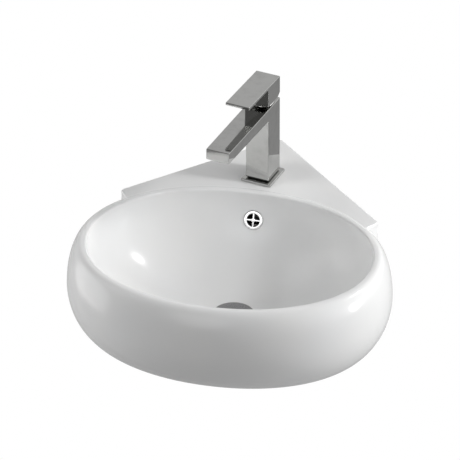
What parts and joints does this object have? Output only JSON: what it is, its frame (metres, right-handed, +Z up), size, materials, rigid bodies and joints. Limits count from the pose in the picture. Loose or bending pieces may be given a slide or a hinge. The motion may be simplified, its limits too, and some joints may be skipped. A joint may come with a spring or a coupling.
{
  "type": "corner wall-hung basin",
  "caption": "Oval corner wash basin of white china with a triangular tap deck, square single-lever mixer, overflow insert and click waste.",
  "frame": {"origin": "corner of the room, where the two wall planes meet, at the height of the deck's top", "axes": "+X to the user's right, +Y into the corner, +Z up; the user stands at -Y"},
  "size_m": [0.46, 0.4805, 0.371],
  "materials": {
    "china": "gloss",
    "chrome": "mirror",
    "brass": "machined",
    "steel": "zinc plated",
    "rubber": "matt",
    "white_plastic": "matt",
    "grey_plastic": "satin",
    "disc_ceramic": "lapped"
  },
  "bodies": {
    "basin": {"basin_body": "china", "overflow_ring": "chrome", "waste_body": "chrome", "waste_top_seal": "rubber", "waste_bottom_seal": "rubber", "waste_slip_washer": "white_plastic", "waste_backnut": "brass", "waste_latch_housing": "white_plastic", "waste_spring": "steel", "tap_body": "chrome", "tap_base_plate": "chrome", "tap_base_seal": "rubber", "tap_stud": "steel", "tap_rubber_washer": "rubber", "tap_clamp_washer": "steel", "tap_clamp_nut": "brass", "aerator_housing": "chrome", "aerator_insert": "grey_plastic", "aerator_seal": "rubber", "cartridge_housing": "grey_plastic", "cartridge_seals": "rubber", "cartridge_fixed_disc": "disc_ceramic", "cartridge_nut": "brass", "cartridge_dome": "chrome"},
    "plug": {"waste_plug": "chrome", "waste_plug_seal": "rubber", "waste_plug_stem": "steel"},
    "swivel": {"cartridge_rotor": "white_plastic", "cartridge_pin": "steel"},
    "disc": {"cartridge_moving_disc": "disc_ceramic"},
    "lever": {"cartridge_stem": "brass", "lever_handle": "chrome", "lever_grub_screw": "steel", "lever_screw_cap": "chrome"}
  },
  "joints": [
    {"name": "plug_slide", "type": "slide", "parent": "basin", "child": "plug", "axis": [0, 0, 1], "range_m": [0, 0.009], "deforming": ["waste_spring"]},
    {"name": "lever_swivel", "type": "hinge", "parent": "basin", "child": "swivel", "pos_m": [0, -0.106, 0.104], "axis": [0, 0, 1], "range_deg": [-45, 45]},
    {"name": "lever_lift", "type": "hinge", "parent": "swivel", "child": "lever", "pos_m": [0, -0.106, 0.104], "axis": [-0.9816, 0.1908, 0], "range_deg": [0, 18]},
    {"name": "disc_slide", "type": "slide", "parent": "swivel", "child": "disc", "axis": [-0.1908, -0.9816, 0], "range_m": [0, 0.0018]}
  ],
  "couplings": [
    {"joint": "disc_slide", "follows": "lever_lift", "m_per_rad": 0.0055}
  ]
}
